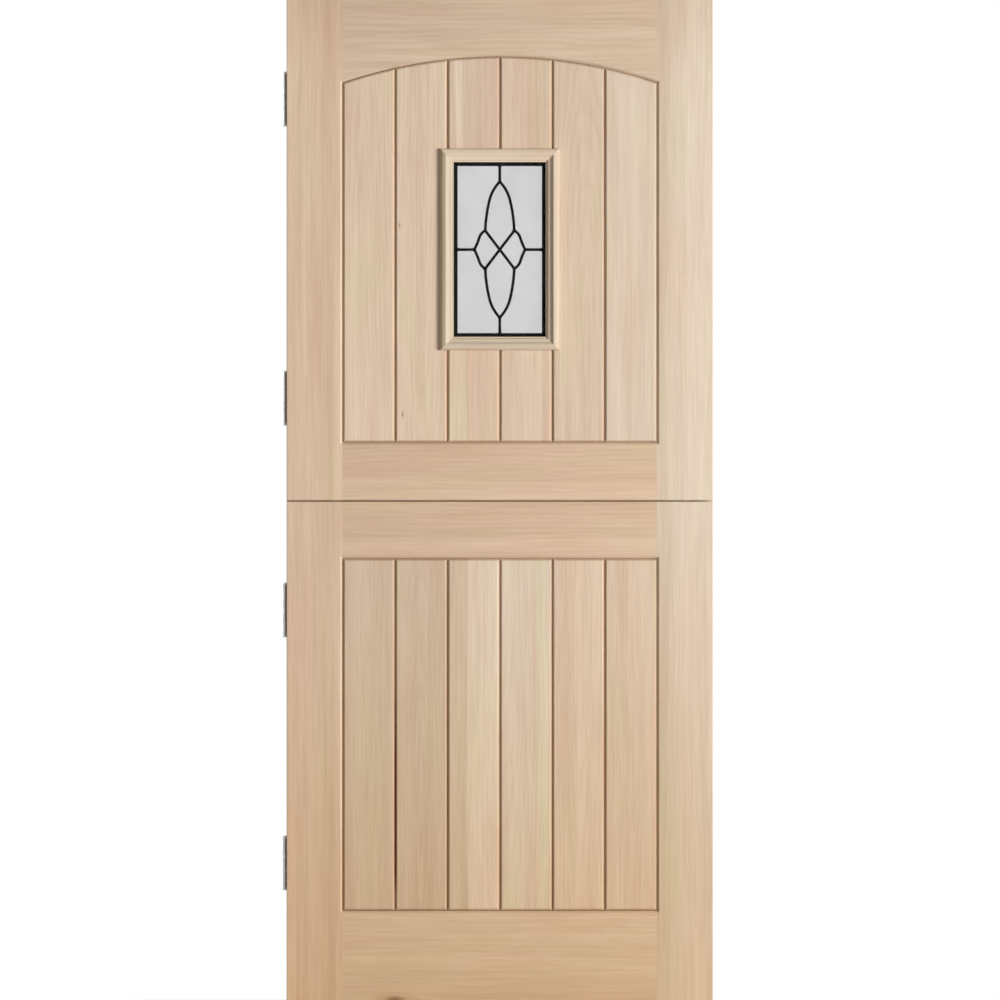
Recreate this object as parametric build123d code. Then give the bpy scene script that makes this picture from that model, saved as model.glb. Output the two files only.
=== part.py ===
from build123d import *
from dataclasses import dataclass
from math import cos, radians, sin, sqrt
import os

# Stable door: two leaves, one above the other. Each is a frame of stiles and rails, boarded on
# both faces over a timber core. The upper leaf's boards end in an arch under its head rail,
# and it holds a leaded light between two clear panes. The leaves hang on four butt hinges.
# +X is right seen from outside, +Y is into the building and +Z is up. The origin is the middle
# of the bottom edge, half way through the thickness. All sizes are in millimetres.

# Leaves and their frames
DOOR_W = 838.0
DOOR_H = 1981.0
DOOR_T = 44.0
STILE_W = 110.0
FOOT_RAIL_H = 183.0
LOWER_MEETING_RAIL_H = 112.0
UPPER_MEETING_RAIL_H = 114.0
HEAD_RAIL_H = 119.0  # at the crown of the arch
ARCH_RISE = 51.0
LOWER_LEAF_H = 987.0  # to the top of its outer lip
LEAF_GAP = 3.0  # between the two leaves, all along their rebate
REBATE_STEP = 12.0  # the inner half of the rebate lies this much lower
ARRIS = 1.0
LAND_W = 10.0  # the middle of the frame runs this far in behind the boards
TENON_T = 14.0
TENON_L = 70.0
TENON_SHOULDER = 12.0
TENON_FIT = 0.15
MORTISE_SPARE = 1.0

# Boards and core
BOARD_COUNT = 6
BOARD_T = 12.0
JOINT_GAP = 1.0  # between neighbours, at the foot of each V
V_BEVEL = 4.0
TONGUE_T = 4.0
TONGUE_L = 7.0
TONGUE_FIT = 0.2
TONGUE_SPARE = 1.0
CORE_FIT = 0.3

# Glazed light
SIGHT_W = 181.0  # the opening seen between the beads
SIGHT_H = 343.5
LINER_W = 30.0
GLASS_CLEARANCE = 3.0  # round the glass unit, and the height of its setting blocks
PANE_T = 4.0
LEADED_T = 5.0  # over the cames
UNIT_T = 24.0
SPACER_W = 6.5
SPACER_INSET = 3.0
SETTING_BLOCK_L = 80.0
SETTING_BLOCK_X = 50.0
TAPE_W = 7.0
TAPE_T = 1.5
TAPE_INSET = 1.0

# Cames and the glass they hold
BORDER_CAME_W = 12.0
BORDER_WEB_T = 1.5
LATTICE_CAME_W = 4.5
CAME_HEART_T = 1.5
CAME_FLANGE_T = 1.0
GLASS_FIT = 0.2
LENS_TIP_Z = 133.5
LENS_SHOULDER = (20.2, 97.1)
LENS_SHOULDER_LEAN = 13.7  # degrees from upright
LENS_FOOT = (28.5, 37.3)
DIAMOND_SHOULDER = (40.3, 23.4)
DIAMOND_SHOULDER_LEAN = 17.0
DIAMOND_TIP_X = 50.0

# Bead moulding, from the sight edge out
BEAD_W = 26.5
BEAD_PROUD = 12.0
BEAD_FIT = 0.5
BEAD_LIP_W = 2.5
BEAD_LIP_H = 2.0
BEAD_STEP_W = 5.0
BEAD_STEP_H = 4.5
BEAD_CREST_START = 14.0
BEAD_CREST_W = 4.5
BEAD_CREST_RISE = 0.8
BEAD_EDGE_H = 3.0
BEAD_STEP_BULGE = (0.3, 0.7)  # where its arc passes, as shares of its width and height
BEAD_HOLLOW_RISE = 0.35
BEAD_NOSE_BULGE = (0.7, 0.67)

# Hinges
HINGE_L = 102.0
HINGE_PLATE_W = 38.0  # from the pin's axis to the plate's far edge
HINGE_PLATE_T = 3.0
HINGE_GAP = 3.0  # between the two plates when shut
HINGE_FOOT_INSET = 225.0  # from the door's foot to the lowest hinge
HINGE_INSET = 150.0  # from the meeting line, and from the door's top
KNUCKLE_COUNT = 5
KNUCKLE_R = 6.5
KNUCKLE_GAP = 0.3
KNUCKLE_CLEARANCE = 0.5  # from the round of the knuckles to the flat of the plates
PIN_R = 3.5
PIN_RUNNING_FIT = 0.05
PIN_TIP_H = 3.0
PIN_TIP_ROUND = 1.5
RECESS_FIT = 0.1
SCREW_L = 32.0
SCREW_R = 2.1
SCREW_HEAD_R = 4.2
SCREW_POINT_L = 4.0
SCREW_SLOT_L = 4.6
SCREW_SLOT_T = 0.9
SCREW_SLOT_DEPTH = 1.5
SCREW_HOLE_R = 2.4
OUTER_SCREW_INSET = 13.0  # from the plate's end
OUTER_SCREW_Y = 30.0  # from the pin's axis
INNER_SCREW_INSET = 37.0
INNER_SCREW_Y = 15.0

# Seal in the meeting rebate
SEAL_STEM_W = 3.0
SEAL_STEM_H = 5.0
SEAL_HEAD_W = 7.0
SEAL_ROUND = 1.0
SEAL_INSET = 8.0  # from the inside face to the seal's near edge
SEAL_CLEARANCE = 0.3

# Planes and lines that the sizes above settle
PANEL_W = DOOR_W - 2 * STILE_W
BOARD_PITCH = PANEL_W / BOARD_COUNT
ARCH_R = ((PANEL_W / 2) ** 2 + ARCH_RISE**2) / (2 * ARCH_RISE)
FACE_Y = DOOR_T / 2
CORE_Y = FACE_Y - BOARD_T
LOWER_LEDGE_Z = LOWER_LEAF_H - REBATE_STEP
UPPER_LEAF_Z = LOWER_LEAF_H + LEAF_GAP
UPPER_LIP_Z = LOWER_LEDGE_Z + LEAF_GAP
APERTURE_W = 2 * BOARD_PITCH
BEAD_REBATE = (APERTURE_W - SIGHT_W) / 2
APERTURE_H = SIGHT_H + 2 * BEAD_REBATE
UNIT_W = APERTURE_W - 2 * GLASS_CLEARANCE
UNIT_H = APERTURE_H - 2 * GLASS_CLEARANCE
UNIT_Y = UNIT_T / 2
LEADED_W = UNIT_W - 2 * SPACER_INSET
LEADED_H = UNIT_H - 2 * SPACER_INSET
PIN_X = -DOOR_W / 2 - HINGE_GAP / 2
PIN_Y = FACE_Y + KNUCKLE_R + KNUCKLE_CLEARANCE
BOX_SPARE = 1.0  # how far a cutting box runs past what it cuts


@dataclass
class Panel:
    """The boarded part of a leaf: its bottom, the tops of its sides, and the rise of its arch."""

    low: float
    side_top: float
    rise: float = 0.0

    def side(self, inset):
        """Height of the upper corners once the whole edge is drawn in by inset."""
        if not self.rise:
            return self.side_top - inset
        return self.arch_centre() + sqrt((ARCH_R - inset) ** 2 - (PANEL_W / 2 - inset) ** 2)

    def arch_centre(self):
        return self.side_top + self.rise - ARCH_R

    def outline(self, inset):
        """The panel's shape, as X and Z, with its whole edge drawn in by inset."""
        half = PANEL_W / 2 - inset
        low = self.low + inset
        side = self.side(inset)
        if not self.rise:
            return rectangle(-half, half, low, side)
        crown = (0, self.arch_centre() + ARCH_R - inset)
        straight = Polyline((half, side), (half, low), (-half, low), (-half, side))
        arch = ThreePointArc((-half, side), crown, (half, side))
        return make_face(straight.edges() + arch.edges())


LOWER_PANEL = Panel(FOOT_RAIL_H, LOWER_LEAF_H - LOWER_MEETING_RAIL_H)
UPPER_PANEL = Panel(
    UPPER_LEAF_Z + UPPER_MEETING_RAIL_H, DOOR_H - HEAD_RAIL_H - ARCH_RISE, ARCH_RISE
)

# The light is in the middle of the upper panel, between its foot and the crown of its arch
LIGHT_Z = (UPPER_PANEL.low + DOOR_H - HEAD_RAIL_H) / 2
APERTURE_LOW = LIGHT_Z - APERTURE_H / 2


def rectangle(x0, x1, z0, z1):
    return Pos((x0 + x1) / 2, (z0 + z1) / 2) * Rectangle(x1 - x0, z1 - z0)


def slab(shape, y0, y1):
    """A shape drawn as X and Z, given its thickness from y0 to y1."""
    return extrude(Plane.XZ.offset(-y1) * shape, y1 - y0)


def block(x0, x1, y0, y1, z0, z1):
    centre = Pos((x0 + x1) / 2, (y0 + y1) / 2, (z0 + z1) / 2)
    return centre * Box(x1 - x0, y1 - y0, z1 - z0)


def door_length(points):
    """A section drawn as Y and Z, run across the whole width of the door."""
    return extrude(Plane.YZ * make_face(Polyline(*points, close=True)), DOOR_W / 2, both=True)


def bevel(part, face, size):
    """Bevel every edge round a face of the part."""
    return part.solid().chamfer(size, None, face.edges())


def lower_blank():
    return door_length([
        (-FACE_Y, 0),
        (FACE_Y, 0),
        (FACE_Y, LOWER_LEDGE_Z),
        (-LEAF_GAP / 2, LOWER_LEDGE_Z),
        (-LEAF_GAP / 2, LOWER_LEAF_H),
        (-FACE_Y, LOWER_LEAF_H),
    ])


def upper_blank():
    return door_length([
        (-FACE_Y, UPPER_LEAF_Z),
        (LEAF_GAP / 2, UPPER_LEAF_Z),
        (LEAF_GAP / 2, UPPER_LIP_Z),
        (FACE_Y, UPPER_LIP_Z),
        (FACE_Y, DOOR_H),
        (-FACE_Y, DOOR_H),
    ])


def framed(blank, panel):
    """The frame in one piece: bevelled pockets for the boards on both faces, a land between."""
    pocket = panel.outline(-JOINT_GAP / 2)
    for end in (0, -1):
        blank = bevel(blank, blank.faces().sort_by(Axis.Y)[end], ARRIS)
    frame = blank - slab(panel.outline(LAND_W), -CORE_Y, CORE_Y)
    frame -= slab(pocket, -FACE_Y - BOX_SPARE, -CORE_Y)
    frame -= slab(pocket, CORE_Y, FACE_Y + BOX_SPARE)
    faces = frame.faces().sort_by(Axis.Y)
    rims = [edge for face in (faces[0], faces[-1]) for edge in face.inner_wires()[0].edges()]
    return frame.solid().chamfer(V_BEVEL, None, rims)


def tenons(low, high, fit, spare):
    """Blocks at both ends of a rail, as tenons, or a little larger as the mortises for them."""
    y = TENON_T / 2 + fit
    ends = (PANEL_W / 2 - LAND_W / 2, PANEL_W / 2 + TENON_L + spare)
    z = (low + TENON_SHOULDER - fit, high - TENON_SHOULDER + fit)
    return [block(*sorted((side * ends[0], side * ends[1])), -y, y, *z) for side in (-1, 1)]


def stiles_and_rails(frame, panel, low, high):
    """Split a frame into its two stiles, its top rail and its bottom rail.

    low and high bound the part of the leaf that has its whole thickness.
    """
    box = frame.bounding_box()
    half = PANEL_W / 2
    split_low = panel.low + LAND_W
    split_high = panel.side(LAND_W)
    whole = (-FACE_Y, FACE_Y)
    top_rail = frame & block(-half, half, *whole, split_high, box.max.Z)
    bottom_rail = frame & block(-half, half, *whole, box.min.Z, split_low)
    sides = frame - top_rail - bottom_rail
    for rail_low, rail_high in ((low, split_low), (split_high, high)):
        sides -= tenons(rail_low, rail_high, TENON_FIT, MORTISE_SPARE)
    top_rail += tenons(split_high, high, 0, 0)
    bottom_rail += tenons(low, split_low, 0, 0)
    hinge_stile, lock_stile = sides.solids().sort_by(Axis.X)
    return hinge_stile, lock_stile, top_rail, bottom_rail


def board_shape(panel, x0, x1, has_aperture):
    shape = panel.outline(JOINT_GAP / 2) & rectangle(x0, x1, 0, DOOR_H)
    if has_aperture:
        shape -= rectangle(x0, x1, APERTURE_LOW, APERTURE_LOW + APERTURE_H)
    return shape


def outer_boards(panel, has_light):
    """The boards of the outside face, left to right, each as a list of one or two solids."""
    middle = BOARD_COUNT // 2
    tongue_y = -FACE_Y + (BOARD_T + V_BEVEL - TONGUE_T) / 2
    boards = []
    for index in range(BOARD_COUNT):
        cut = has_light and index in (middle - 1, middle)
        left = -PANEL_W / 2 + index * BOARD_PITCH + JOINT_GAP / 2
        right = left + BOARD_PITCH - JOINT_GAP
        pieces = []
        for piece in slab(board_shape(panel, left, right, cut), -FACE_Y, -CORE_Y).solids():
            pieces.append(bevel(piece, piece.faces().sort_by(Axis.Y)[0], V_BEVEL))
        board = Part() + pieces
        # Each joint has its tongue on the board nearer the middle, and the middle joint has it
        # on the left one, so no tongue stands in the light's aperture.
        for side, edge in ((-1, left), (1, right)):
            joint = index if side < 0 else index + 1
            if joint in (0, BOARD_COUNT):
                continue
            tongued = joint < middle if side < 0 else joint >= middle
            fit = 0 if tongued else TONGUE_FIT
            reach = TONGUE_L + (0 if tongued else TONGUE_SPARE)
            out = edge + side * (reach if tongued else BOX_SPARE)
            back = edge - side * (BOX_SPARE if tongued else reach)
            strip = slab(
                board_shape(panel, min(out, back), max(out, back), cut and tongued),
                tongue_y - fit,
                tongue_y + TONGUE_T + fit,
            )
            board = board + strip if tongued else board - strip
        boards.append(board.solids().sort_by(Axis.Z))
    return boards


def inner_boards(boards):
    """The same boards on the inside face."""
    return [mirror(piece, about=Plane.XZ) for pieces in boards for piece in pieces]


def light_rectangle(width, height):
    return Pos(0, LIGHT_Z) * Rectangle(width, height)


def ring(width, height, border, y0, y1):
    """A rectangular ring about the light's middle, of a given width and height over all."""
    shape = light_rectangle(width, height)
    shape -= light_rectangle(width - 2 * border, height - 2 * border)
    return slab(shape, y0, y1)


def core(panel, has_light):
    shape = panel.outline(LAND_W + CORE_FIT)
    if has_light:
        shape -= light_rectangle(APERTURE_W + 2 * LINER_W, APERTURE_H + 2 * LINER_W)
    return slab(shape, -CORE_Y, CORE_Y)


def liners():
    """Four timber strips between the two layers of boards, round the light."""
    pieces = []
    for side in (-1, 1):
        x = sorted((side * APERTURE_W / 2, side * (APERTURE_W / 2 + LINER_W)))
        tall = APERTURE_H / 2 + LINER_W
        pieces.append(block(*x, -CORE_Y, CORE_Y, LIGHT_Z - tall, LIGHT_Z + tall))
        z = sorted((LIGHT_Z + side * APERTURE_H / 2, LIGHT_Z + side * tall))
        pieces.append(block(-APERTURE_W / 2, APERTURE_W / 2, -CORE_Y, CORE_Y, *z))
    return pieces


def lean(angle):
    return (sin(radians(angle)), cos(radians(angle)))


def lattice_lines():
    """Centre lines of the lattice cames, as X and Z about the middle of the light."""
    lines = []
    border = (LEADED_W / 2 - BORDER_WEB_T, LEADED_H / 2 - BORDER_WEB_T)
    for sx in (-1, 1):
        lines.append(Line((sx * DIAMOND_TIP_X, 0), (sx * border[0], 0)))
        lines.append(Line((0, sx * LENS_TIP_Z), (0, sx * border[1])))
        for sz in (-1, 1):
            tip, shoulder, foot, elbow, point = (
                (sx * x, sz * z)
                for x, z in (
                    (0, LENS_TIP_Z),
                    LENS_SHOULDER,
                    LENS_FOOT,
                    DIAMOND_SHOULDER,
                    (DIAMOND_TIP_X, 0),
                )
            )
            for turn, ends, angle in (
                (shoulder, (tip, foot), LENS_SHOULDER_LEAN),
                (elbow, (foot, point), DIAMOND_SHOULDER_LEAN),
            ):
                out, up = lean(angle)
                lines.append(TangentArc(turn, ends[0], tangent=(-sx * out, sz * up)))
                lines.append(TangentArc(turn, ends[1], tangent=(sx * out, -sz * up)))
            lines.append(Line((0, 0), foot))
    return [line.edge() for line in lines]


def strip(edge, width):
    """A round-ended strip along one line or arc."""
    if edge.geom_type != GeomType.LINE:
        return SlotArc(edge, width)
    start, end = edge @ 0, edge @ 1
    middle = (start + end) / 2
    angle = Vector(1, 0, 0).get_signed_angle(end - start, Vector(0, 0, 1))
    return Pos(middle.X, middle.Y) * Rot(0, 0, angle) * SlotCenterToCenter(edge.length, width)


def lattice(lines, width):
    shape = Sketch() + [strip(line, width) for line in lines]
    return Pos(0, LIGHT_Z) * shape


def cames(lines):
    """The soldered net of lead: a flat border and an H-sectioned lattice."""
    heart_y = LEADED_T / 2 - CAME_FLANGE_T
    border = light_rectangle(LEADED_W, LEADED_H)
    border -= light_rectangle(LEADED_W - 2 * BORDER_CAME_W, LEADED_H - 2 * BORDER_CAME_W)
    flanges = (border + lattice(lines, LATTICE_CAME_W)) & light_rectangle(LEADED_W, LEADED_H)
    web = ring(LEADED_W, LEADED_H, BORDER_WEB_T, -heart_y, heart_y)
    hearts = slab(lattice(lines, CAME_HEART_T) & light_rectangle(LEADED_W, LEADED_H), -heart_y, heart_y)
    net = web + hearts
    for y0, y1 in ((-LEADED_T / 2, -heart_y), (heart_y, LEADED_T / 2)):
        net += slab(flanges, y0, y1)
    return net


def quarries(lines):
    """The pieces of obscure glass that the cames hold."""
    margin = 2 * (BORDER_WEB_T + GLASS_FIT)
    shape = light_rectangle(LEADED_W - margin, LEADED_H - margin)
    shape -= lattice(lines, CAME_HEART_T + 2 * GLASS_FIT)
    heart_y = LEADED_T / 2 - CAME_FLANGE_T
    return slab(shape, -heart_y, heart_y).solids()


def setting_blocks():
    blocks = []
    for side in (-1, 1):
        x = side * SETTING_BLOCK_X
        blocks.append(
            block(
                x - SETTING_BLOCK_L / 2,
                x + SETTING_BLOCK_L / 2,
                -UNIT_Y,
                UNIT_Y,
                APERTURE_LOW,
                APERTURE_LOW + GLASS_CLEARANCE,
            )
        )
    return blocks


def bead_section():
    """The bead's section: X runs out from the sight edge, Y stands up from the boards' face."""
    back = UNIT_Y + TAPE_T - FACE_Y
    step = BEAD_LIP_W + BEAD_STEP_W
    step_h = BEAD_LIP_H + BEAD_STEP_H
    crest_end = BEAD_CREST_START + BEAD_CREST_W
    crest_h = BEAD_PROUD - BEAD_CREST_RISE
    nose_w, nose_h = BEAD_W - crest_end, crest_h - BEAD_EDGE_H
    bulge = BEAD_STEP_BULGE
    body = BEAD_REBATE - BEAD_FIT
    lines = [
        Polyline((0, back), (0, BEAD_LIP_H), (BEAD_LIP_W, BEAD_LIP_H)),
        ThreePointArc(
            (BEAD_LIP_W, BEAD_LIP_H),
            (BEAD_LIP_W + BEAD_STEP_W * bulge[0], BEAD_LIP_H + BEAD_STEP_H * bulge[1]),
            (step, step_h),
        ),
        ThreePointArc(
            (step, step_h),
            ((step + BEAD_CREST_START) / 2, step_h + (crest_h - step_h) * BEAD_HOLLOW_RISE),
            (BEAD_CREST_START, crest_h),
        ),
        ThreePointArc(
            (BEAD_CREST_START, crest_h),
            (BEAD_CREST_START + BEAD_CREST_W / 2, BEAD_PROUD),
            (crest_end, crest_h),
        ),
        ThreePointArc(
            (crest_end, crest_h),
            (crest_end + nose_w * BEAD_NOSE_BULGE[0], BEAD_EDGE_H + nose_h * BEAD_NOSE_BULGE[1]),
            (BEAD_W, BEAD_EDGE_H),
        ),
        Polyline((BEAD_W, BEAD_EDGE_H), (BEAD_W, 0), (body, 0), (body, back), (0, back)),
    ]
    return make_face([edge for line in lines for edge in line.edges()])


def outer_beads():
    """Four mitred beads round the sight opening, by the side they lie on."""
    half_w, half_h = SIGHT_W / 2, SIGHT_H / 2
    section = bead_section()
    margin = BEAD_W + BOX_SPARE
    depth = (-FACE_Y - BEAD_PROUD - BOX_SPARE, -UNIT_Y)
    beads = {}
    for name, angle, sight, length in (
        ("right", 0, half_w, half_h),
        ("top", 90, half_h, half_w),
        ("left", 180, half_w, half_h),
        ("bottom", 270, half_h, half_w),
    ):
        far, reach = sight + margin, length + margin
        run = Plane(origin=(sight, -FACE_Y, -reach), x_dir=(1, 0, 0), z_dir=(0, 0, 1))
        moulding = extrude(run * mirror(section, about=Plane.XZ), 2 * reach)
        corners = ((sight, -length), (far, -reach), (far, reach), (sight, length))
        mitre = make_face(Polyline(*corners, close=True))
        bead = moulding & slab(mitre, *depth)
        beads[name] = Pos(0, 0, LIGHT_Z) * Rot(0, -angle, 0) * bead
    return beads


def knuckles(z, first):
    """Every other knuckle of a hinge whose middle is at z, as the heights of its two ends."""
    length = (HINGE_L - (KNUCKLE_COUNT - 1) * KNUCKLE_GAP) / KNUCKLE_COUNT
    starts = [z - HINGE_L / 2 + i * (length + KNUCKLE_GAP) for i in range(first, KNUCKLE_COUNT, 2)]
    return [(start, start + length) for start in starts]


def plate_x(side):
    """The two faces of a hinge plate in X: side is 1 on the leaf and -1 on the jamb."""
    inner = PIN_X + side * HINGE_GAP / 2
    return sorted((inner, inner + side * HINGE_PLATE_T))


def upright(radius, z0, z1):
    """A round bar on the hinge axis."""
    return Pos(PIN_X, PIN_Y, (z0 + z1) / 2) * Cylinder(radius, z1 - z0)


def screw_places(z):
    places = []
    for side in (-1, 1):
        places.append((PIN_Y - OUTER_SCREW_Y, z + side * (HINGE_L / 2 - OUTER_SCREW_INSET)))
        places.append((PIN_Y - INNER_SCREW_Y, z + side * (HINGE_L / 2 - INNER_SCREW_INSET)))
    return places


def screw_blank():
    """A countersunk screw along +X, its head's face at the origin."""
    outline = Polyline(
        (0, 0),
        (0, SCREW_HEAD_R),
        (SCREW_HEAD_R - SCREW_R, SCREW_R),
        (SCREW_L - SCREW_POINT_L, SCREW_R),
        (SCREW_L, 0),
        close=True,
    )
    return revolve(make_face(outline), Axis.X)


def screw():
    body = screw_blank()
    for width, height in ((SCREW_SLOT_L, SCREW_SLOT_T), (SCREW_SLOT_T, SCREW_SLOT_L)):
        y, z = width / 2, height / 2
        body -= block(-BOX_SPARE, SCREW_SLOT_DEPTH, -y, y, -z, z)
    return body


def hinge_plate(z, side):
    """One plate of a hinge with its own knuckles and four countersunk holes."""
    x = plate_x(side)
    plate = block(*x, PIN_Y - HINGE_PLATE_W, FACE_Y, z - HINGE_L / 2, z + HINGE_L / 2)
    for z0, z1 in knuckles(z, 1 if side > 0 else 0):
        plate += block(*x, FACE_Y, PIN_Y, z0, z1) + upright(KNUCKLE_R, z0, z1)
    fit = PIN_RUNNING_FIT if side > 0 else 0
    plate -= upright(PIN_R + fit, z - HINGE_L, z + HINGE_L)
    sink = SCREW_HEAD_R - SCREW_HOLE_R
    shape = Polyline(
        (-BOX_SPARE, 0),
        (-BOX_SPARE, SCREW_HEAD_R),
        (0, SCREW_HEAD_R),
        (sink, SCREW_HOLE_R),
        (HINGE_PLATE_T + BOX_SPARE, SCREW_HOLE_R),
        (HINGE_PLATE_T + BOX_SPARE, 0),
        close=True,
    )
    hole = revolve(make_face(shape), Axis.X)
    if side < 0:
        hole = mirror(hole, about=Plane.YZ)
    for y, hole_z in screw_places(z):
        plate -= Pos(PIN_X + side * HINGE_GAP / 2, y, hole_z) * hole
    return plate


def hinge_pin(z):
    pin = upright(PIN_R, z - HINGE_L / 2, z + HINGE_L / 2)
    for side in (-1, 1):
        ends = sorted((z + side * HINGE_L / 2, z + side * (HINGE_L / 2 + PIN_TIP_H)))
        tip = upright(KNUCKLE_R, *ends)
        rim = tip.edges().filter_by(GeomType.CIRCLE).sort_by(Axis.Z)[-1 if side > 0 else 0]
        pin += tip.solid().fillet(PIN_TIP_ROUND, [rim])
    return pin


def hinge_screws(z):
    return [Pos(-DOOR_W / 2, y, hole_z) * screw() for y, hole_z in screw_places(z)]


def let_in(stile, z):
    """Cut a hinge's recess and its screws' pilot holes in the hinge stile."""
    x0, x1 = plate_x(1)
    tall = HINGE_L / 2 + RECESS_FIT
    low_y = PIN_Y - HINGE_PLATE_W - RECESS_FIT
    stile -= block(x0 - BOX_SPARE, x1, low_y, FACE_Y + BOX_SPARE, z - tall, z + tall)
    for y, hole_z in screw_places(z):
        stile -= Pos(-DOOR_W / 2, y, hole_z) * screw_blank()
    return stile


def seal_section():
    """The seal's section as Y and Z about the middle of its stem, at the ledge's level."""
    head_h = LEAF_GAP - SEAL_CLEARANCE
    head = Pos(0, head_h / 2) * RectangleRounded(SEAL_HEAD_W, head_h, SEAL_ROUND)
    return head + Pos(0, -SEAL_STEM_H / 2 + SEAL_ROUND / 2) * Rectangle(
        SEAL_STEM_W, SEAL_STEM_H + SEAL_ROUND
    )


def place_seal(shape):
    middle = Plane.YZ * Pos(FACE_Y - SEAL_INSET - SEAL_HEAD_W / 2, LOWER_LEDGE_Z) * shape
    return extrude(middle, DOOR_W / 2, both=True)


def leaf(name, rails, blank, panel, whole, hinges, has_light):
    """A leaf's frame, boards, core, hinge plates and screws, by name.

    rails names the top and the bottom rail, and whole is the height over which the leaf has its
    whole thickness.
    """
    hinge_stile, lock_stile, *rail_solids = stiles_and_rails(framed(blank, panel), panel, *whole)
    pieces = dict(zip(rails, rail_solids))
    screws = []
    for hinge_name, z in hinges.items():
        hinge_stile = let_in(hinge_stile, z)
        pieces[f"{hinge_name}_hinge_leaf_plate"] = hinge_plate(z, 1)
        screws += hinge_screws(z)
    pieces[f"{name}_hinge_stile"] = hinge_stile
    pieces[f"{name}_lock_stile"] = lock_stile
    pieces[f"{name}_hinge_screws"] = screws
    boards = outer_boards(panel, has_light)
    for number, solids in enumerate(boards, 1):
        places = ("",) if len(solids) == 1 else ("_below_light", "_above_light")
        for place, solid in zip(places, solids):
            pieces[f"{name}_outer_board_{number}{place}"] = solid
    pieces[f"{name}_inner_boards"] = inner_boards(boards)
    pieces[f"{name}_core"] = core(panel, has_light)
    return pieces


half_hinge = HINGE_L / 2
lower_hinges = {
    "foot": HINGE_FOOT_INSET + half_hinge,
    "lower_middle": LOWER_LEDGE_Z - HINGE_INSET - half_hinge,
}
upper_hinges = {
    "upper_middle": UPPER_LEAF_Z + HINGE_INSET + half_hinge,
    "head": DOOR_H - HINGE_INSET - half_hinge,
}

parts = leaf(
    name="lower",
    rails=("lower_meeting_rail", "foot_rail"),
    blank=lower_blank(),
    panel=LOWER_PANEL,
    whole=(0, LOWER_LEDGE_Z),
    hinges=lower_hinges,
    has_light=False,
)
parts |= leaf(
    name="upper",
    rails=("head_rail", "upper_meeting_rail"),
    blank=upper_blank(),
    panel=UPPER_PANEL,
    whole=(UPPER_LEAF_Z, DOOR_H),
    hinges=upper_hinges,
    has_light=True,
)

# Seal, in a groove cut across the lower leaf's ledge
seal = place_seal(seal_section())
for node in ("lower_hinge_stile", "lower_lock_stile", "lower_meeting_rail"):
    parts[node] -= seal
parts["meeting_seal"] = seal

# Glazed light, from the outside in
lines = lattice_lines()
pane = light_rectangle(UNIT_W, UNIT_H)
cavity_y = UNIT_Y - PANE_T
parts["glazing_liners"] = liners()
parts["setting_blocks"] = setting_blocks()
parts["glass_outer_pane"] = slab(pane, -UNIT_Y, -cavity_y)
parts["glass_inner_pane"] = slab(pane, cavity_y, UNIT_Y)
parts["glass_outer_spacer"] = ring(LEADED_W, LEADED_H, SPACER_W, -cavity_y, -LEADED_T / 2)
parts["glass_inner_spacer"] = ring(LEADED_W, LEADED_H, SPACER_W, LEADED_T / 2, cavity_y)
parts["glass_edge_seal"] = ring(UNIT_W, UNIT_H, SPACER_INSET, -cavity_y, cavity_y)
parts["lead_cames"] = cames(lines)
parts["leaded_glass_pieces"] = quarries(lines)
tape = (UNIT_W - 2 * TAPE_INSET, UNIT_H - 2 * TAPE_INSET, TAPE_W)
parts["outer_glazing_tape"] = ring(*tape, -UNIT_Y - TAPE_T, -UNIT_Y)
parts["inner_glazing_tape"] = ring(*tape, UNIT_Y, UNIT_Y + TAPE_T)
for side, bead in outer_beads().items():
    parts[f"outer_bead_{side}"] = bead
    parts[f"inner_bead_{side}"] = mirror(bead, about=Plane.XZ)

# Jamb side of the hinges
pins = []
for name, z in (lower_hinges | upper_hinges).items():
    parts[f"{name}_hinge_jamb_plate"] = hinge_plate(z, -1)
    pins.append(hinge_pin(z))
parts["hinge_pins"] = pins

os.makedirs("parts", exist_ok=True)
for node, shape in parts.items():
    solids = shape if isinstance(shape, list) else [shape]
    solids = [solid for item in solids for solid in item.solids()]
    export_step(solids[0] if len(solids) == 1 else Compound(children=solids), f"parts/{node}.step")
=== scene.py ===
import math
import random
from collections import namedtuple

import bmesh
import bpy
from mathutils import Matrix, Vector


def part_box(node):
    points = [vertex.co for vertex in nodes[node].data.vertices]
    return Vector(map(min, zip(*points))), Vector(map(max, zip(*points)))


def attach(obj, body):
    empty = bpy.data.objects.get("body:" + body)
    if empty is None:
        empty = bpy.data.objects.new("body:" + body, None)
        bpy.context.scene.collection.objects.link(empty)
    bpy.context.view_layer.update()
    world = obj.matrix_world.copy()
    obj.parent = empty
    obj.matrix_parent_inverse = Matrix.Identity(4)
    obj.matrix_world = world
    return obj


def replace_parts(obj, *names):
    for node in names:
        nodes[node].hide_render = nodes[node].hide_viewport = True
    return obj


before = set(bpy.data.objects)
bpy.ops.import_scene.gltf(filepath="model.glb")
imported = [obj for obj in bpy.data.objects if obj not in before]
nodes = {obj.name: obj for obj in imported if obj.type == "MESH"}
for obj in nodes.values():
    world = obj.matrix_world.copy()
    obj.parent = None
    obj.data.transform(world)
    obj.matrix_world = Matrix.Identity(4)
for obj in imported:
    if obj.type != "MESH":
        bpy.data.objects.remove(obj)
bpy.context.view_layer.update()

# A stable door in pale, unfinished oak: two leaves, one above the other, each a frame of stiles
# and rails round six V-jointed boards, with a small leaded light in the upper leaf. The outside
# face looks along -Y. Lengths are in metres and colours are linear.

MM = 0.001
RANDOM_SEED = 7


def mm(*values):
    """Lengths given in millimetres, in metres."""
    return tuple(value * MM for value in values)


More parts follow.
